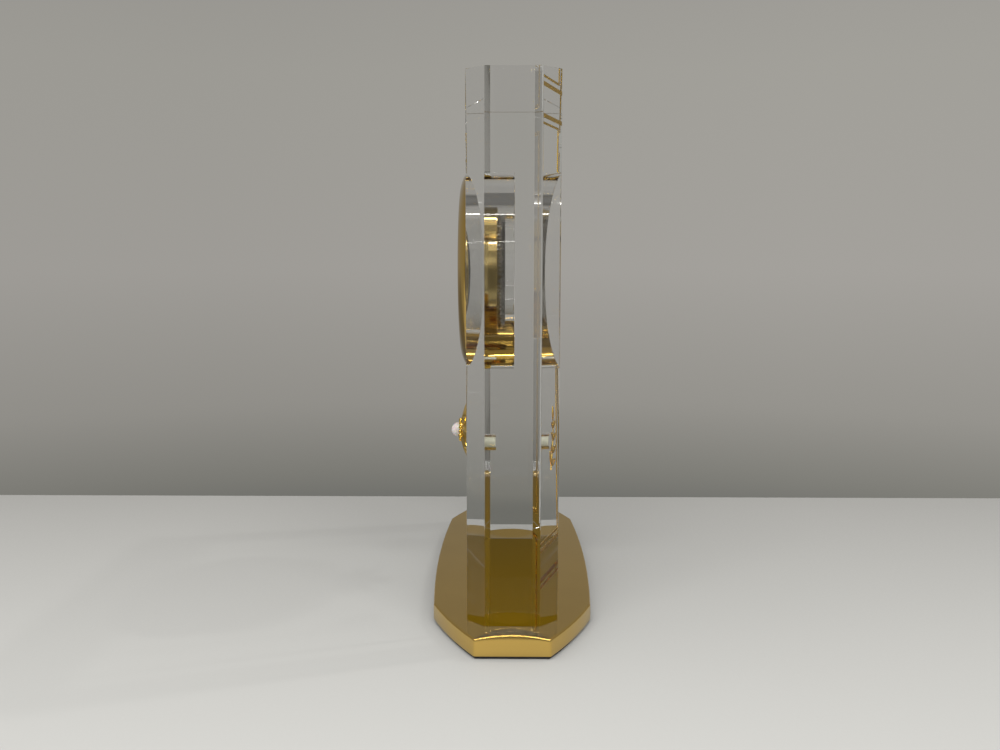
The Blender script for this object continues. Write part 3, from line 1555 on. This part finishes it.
@dataclass
class Studio:
    """A pale table top, a sheet close behind it, a grey surround, lamps and the camera.

    The wall's tones go from its foot up, at the near heights on the sheet and at the far heights on
    the world's wall, as shares of the whole height. The windows are a low and a high end and a fade,
    and the edges say between which values something begins or ends.
    """

    table_back: float = -116.7
    table_front: float = 139.0
    table_half_width: float = 1600.0
    table_thickness: float = 25.0
    table_round: float = 1.5
    table_far: Colour = (0.400, 0.398, 0.388)
    table_near: Colour = (0.560, 0.562, 0.552)
    table_shade: tuple[float, Colour] = (104.0, (0.10, 0.10, 0.095))
    table_turn: float = 137.0
    camera_at: Triple = (363.118, -1.474, 128.79)
    camera_yaw: float = -0.009
    camera_pitch: float = 0.133
    camera_roll: float = 0.001
    focal_pixels: float = 931.14
    picture_width: float = 1000.0
    film_width: float = 36.0
    fill: float = 0.45
    side_strength: float = 0.85
    side_window: Triple = (0.5, 0.9, 0.1)
    side_colour: Colour = (0.16, 0.15, 0.13)
    behind_window: Triple = (-0.45, 0.10, 0.2)
    behind_colour: Colour = (0.13, 0.125, 0.11)
    glow_window: Triple = (0.645, 0.80, 0.008)
    glow_colour: Colour = (0.82, 0.79, 0.72)
    wall_at: float = -118.0
    wall_top: float = 600.0
    wall_sides: Pair = (-140.0, 200.0)
    wall_ends: Pair = (0.61, 1.05)
    wall_gain: Pair = (0.96, 1.04)
    gain_edges: Pair = (-0.3, 0.3)
    backward_edges: Pair = (0.1, 0.5)
    low_edges: Pair = (-0.12, 0.0)
    before_edges: Pair = (-0.5, -0.3)
    wall_tones: tuple[Colour, ...] = (
        (0.165, 0.165, 0.150), (0.205, 0.202, 0.181), (0.29, 0.28, 0.257),
        (0.356, 0.342, 0.319), (0.347, 0.337, 0.309), (0.31, 0.30, 0.28),
    )
    near_heights: tuple[float, ...] = (0.013, 0.023, 0.085, 0.20, 0.36, 0.6)
    far_heights: tuple[float, ...] = (0.37, 0.384, 0.42, 0.49, 0.59, 0.67)
    ceiling: tuple[tuple[float, Colour], ...] = (
        (0.945, (0.30, 0.29, 0.27)), (0.957, (0.11, 0.105, 0.095)), (0.965, (0.15, 0.145, 0.135)),
    )

    def table(self) -> None:
        """Makes the table top, a slab with rounded edges whose top is at height 0."""
        ends, wide = (self.table_back, self.table_front), self.table_half_width
        corners = np.array([(ends[0], -wide), (ends[1], -wide), (ends[1], wide), (ends[0], wide)])
        b = np.radians(np.linspace(0, 90, 6))
        insets = np.concatenate([[0.0], self.table_round * (1 - np.cos(b))])
        heights = np.concatenate([[-self.table_thickness], self.table_round * (np.sin(b) - 1)])
        inward = np.sign(corners - np.mean(corners, axis=0))
        rings = corners[None] - inward[None] * insets[:, None, None]
        levels = np.broadcast_to(heights[:, None, None], (len(heights), 4, 1))
        mesh = mesh_from("table_top", woven(np.concatenate([rings, levels], axis=2)), 60.0)
        near, far = (self.table_turn, self.table_near), (self.table_back, self.table_far)
        mesh.materials.append(TableTop("table_white", far, near, self.table_shade).material())
        top = placed("table_top", mesh)

    def wall(self) -> None:
        """Makes the wall close behind the table, which only rays that come through clear pieces see.

        The wall is a flat sheet that shines by its height, because the world's wall lies far away
        and so shifts wrongly in what the block shows of it.
        """
        at, low, high = self.wall_at, -self.table_thickness, self.wall_top
        side, end = self.wall_sides
        sheet = np.array([(at, side, low), (at, end, low), (at, end, high), (at, side, high)])
        mesh = bpy.data.meshes.new("near_wall")
        mesh.from_pydata((sheet * MM).tolist(), [], [(0, 1, 2, 3)])
        bench = NodeBench("near_wall")
        split = bench.add("SeparateXYZ", {"Vector": bench.place})
        height = bench.span(split.outputs["Z"], 0.0, 1.0, (0.0, self.wall_top * MM))
        tones = bench.ramp(height, list(zip(self.near_heights, self.wall_tones)))
        bench.show(bench.add("Emission", {"Color": tones}))
        mesh.materials.append(bench.material)
        wall = placed("near_wall", mesh)
        wall.visible_camera = wall.visible_diffuse = wall.visible_glossy = wall.visible_shadow = False

    def surround(self) -> None:
        """Makes the world: a grey surround that rays see, and an even fill that lights the scene.

        The wall behind the clock darkens below the horizon and the rest of the room is even. Rays
        that have met the clock also see something dark low down beside the wall, and mirrored rays
        see the dark behind the camera, with a lit ceiling above it. X, Y and Z here are the ray's
        direction, from -1 to 1.
        """
        world = bpy.data.worlds.new("grey_surround")
        bpy.context.scene.world = world
        world.use_nodes = True
        bench = NodeTable(world.node_tree)
        bench.nodes.clear()
        split = bench.add("SeparateXYZ", {0: bench.add("TexCoord", {}).outputs["Generated"]})
        x, y, z = (split.outputs[axis] for axis in "XYZ")
        path = bench.add("LightPath", {}).outputs
        height = bench.span(z, 0.0, 1.0, (-1.0, 1.0))
        wall = [(0.0, (0.13, 0.13, 0.12)), *zip(self.far_heights, self.wall_tones), *self.ceiling]
        plain_top = (self.far_heights[-1], self.wall_tones[-1])
        room = [(0.0, (0.30, 0.30, 0.28)), (0.5, (0.34, 0.335, 0.31)), plain_top, *self.ceiling]
        off = bench.math("ABSOLUTE", bench.math("ARCTAN2", y, bench.both(x, -1.0)))
        ahead = bench.span(off, 1.0, 0.0, self.wall_ends)
        colour = bench.blend(ahead, bench.ramp(height, room), bench.ramp(height, wall))
        gain = bench.span(y, *self.wall_gain, self.gain_edges)
        colour = bench.add("VectorMath", {0: colour, "Scale": gain}, operation="SCALE").outputs[0]
        mirrored = bench.span(path["Glossy Depth"], 0.0, 1.0, (0.4, 0.6))
        backward = bench.both(mirrored, bench.span(x, 0.0, 1.0, self.backward_edges))
        glow = bench.both(backward, bench.window(z, *self.glow_window))
        colour = bench.blend(glow, colour, self.glow_colour)
        dark = bench.both(backward, bench.window(z, *self.behind_window))
        colour = bench.blend(dark, colour, self.behind_colour)
        met = bench.math("SUBTRACT", 1.0, path["Is Camera Ray"])
        low = bench.span(z, 1.0, 0.0, self.low_edges)
        before = bench.span(y, 1.0, 0.0, self.before_edges)
        beside = bench.window(off, *self.side_window)
        side = bench.both(met, low, before, beside, self.side_strength)
        seen = bench.add("Background", {"Color": bench.blend(side, colour, self.side_colour)})
        fill = bench.add("Background", {"Color": opaque((1.0, 0.99, 0.965)), "Strength": self.fill})
        inputs = {"Fac": path["Is Diffuse Ray"], 1: seen.outputs[0], 2: fill.outputs[0]}
        bench.add("OutputWorld", {"Surface": bench.add("MixShader", inputs).outputs[0]})

    def lamps(self) -> None:
        """Hangs the ceiling strips, the soft lamps above and in front, and a small one behind."""
        Lamp("ceiling_strip_near", (708, 0, 1210), (60, 1500), 12.0).hang()
        Lamp("ceiling_strip_far", (2490, 0, 872), (50, 2600), 14.0, through=False).hang()
        Lamp("ceiling_soft", (100, -400, 2050), (900, 1400), 5.0, mirrored=False).hang()
        Lamp("ceiling_small", (-320, 1235, 1700), (60, 60), 4.0, mirrored=False).hang()
        Lamp("front_soft", (100, -1000, 700), (700, 900), 1.2, mirrored=False).hang()

    def camera(self) -> None:
        """Puts the camera where the photograph was taken from."""
        forward = Vector(
            (
                -np.cos(self.camera_pitch) * np.cos(self.camera_yaw),
                np.cos(self.camera_pitch) * np.sin(self.camera_yaw),
                -np.sin(self.camera_pitch),
            )
        )
        level = forward.cross(Vector((0, 0, 1))).normalized()
        upright = level.cross(forward)
        right = level * np.cos(self.camera_roll) + upright * np.sin(self.camera_roll)
        up = upright * np.cos(self.camera_roll) - level * np.sin(self.camera_roll)
        data = bpy.data.cameras.new("photo_camera")
        data.sensor_width = self.film_width
        data.lens = self.film_width * self.focal_pixels / self.picture_width
        data.clip_start = 0.01
        eye = placed("photo_camera", data)
        turn = Matrix((right, up, -forward)).transposed().to_4x4()
        eye.matrix_world = Matrix.Translation(Vector(self.camera_at) * MM) @ turn
        bpy.context.scene.camera = eye

    def build(self) -> None:
        """Sets up the whole studio and lets light go deep enough into the clear block."""
        self.table()
        self.wall()
        self.surround()
        self.lamps()
        self.camera()
        scene = bpy.context.scene
        scene.view_settings.view_transform = "Standard"
        scene.cycles.max_bounces = 32
        scene.cycles.transmission_bounces = 28
        scene.cycles.glossy_bounces = 16
        scene.cycles.transparent_max_bounces = 32
        scene.cycles.caustics_reflective = False
        scene.cycles.caustics_refractive = False


def main() -> None:
    """Builds the studio and the clock, piece by piece, and notes the sizes."""
    logging.basicConfig(level=logging.INFO, format="%(name)s: %(message)s")
    for part in (Studio(), GoldBase(), AcrylicBlock(), Rosette(), ClockCase(), Dial(), Rear(), Movement()):
        log.info("building %s", type(part).__name__)
        part.build()


if __name__ == "__main__":
    main()
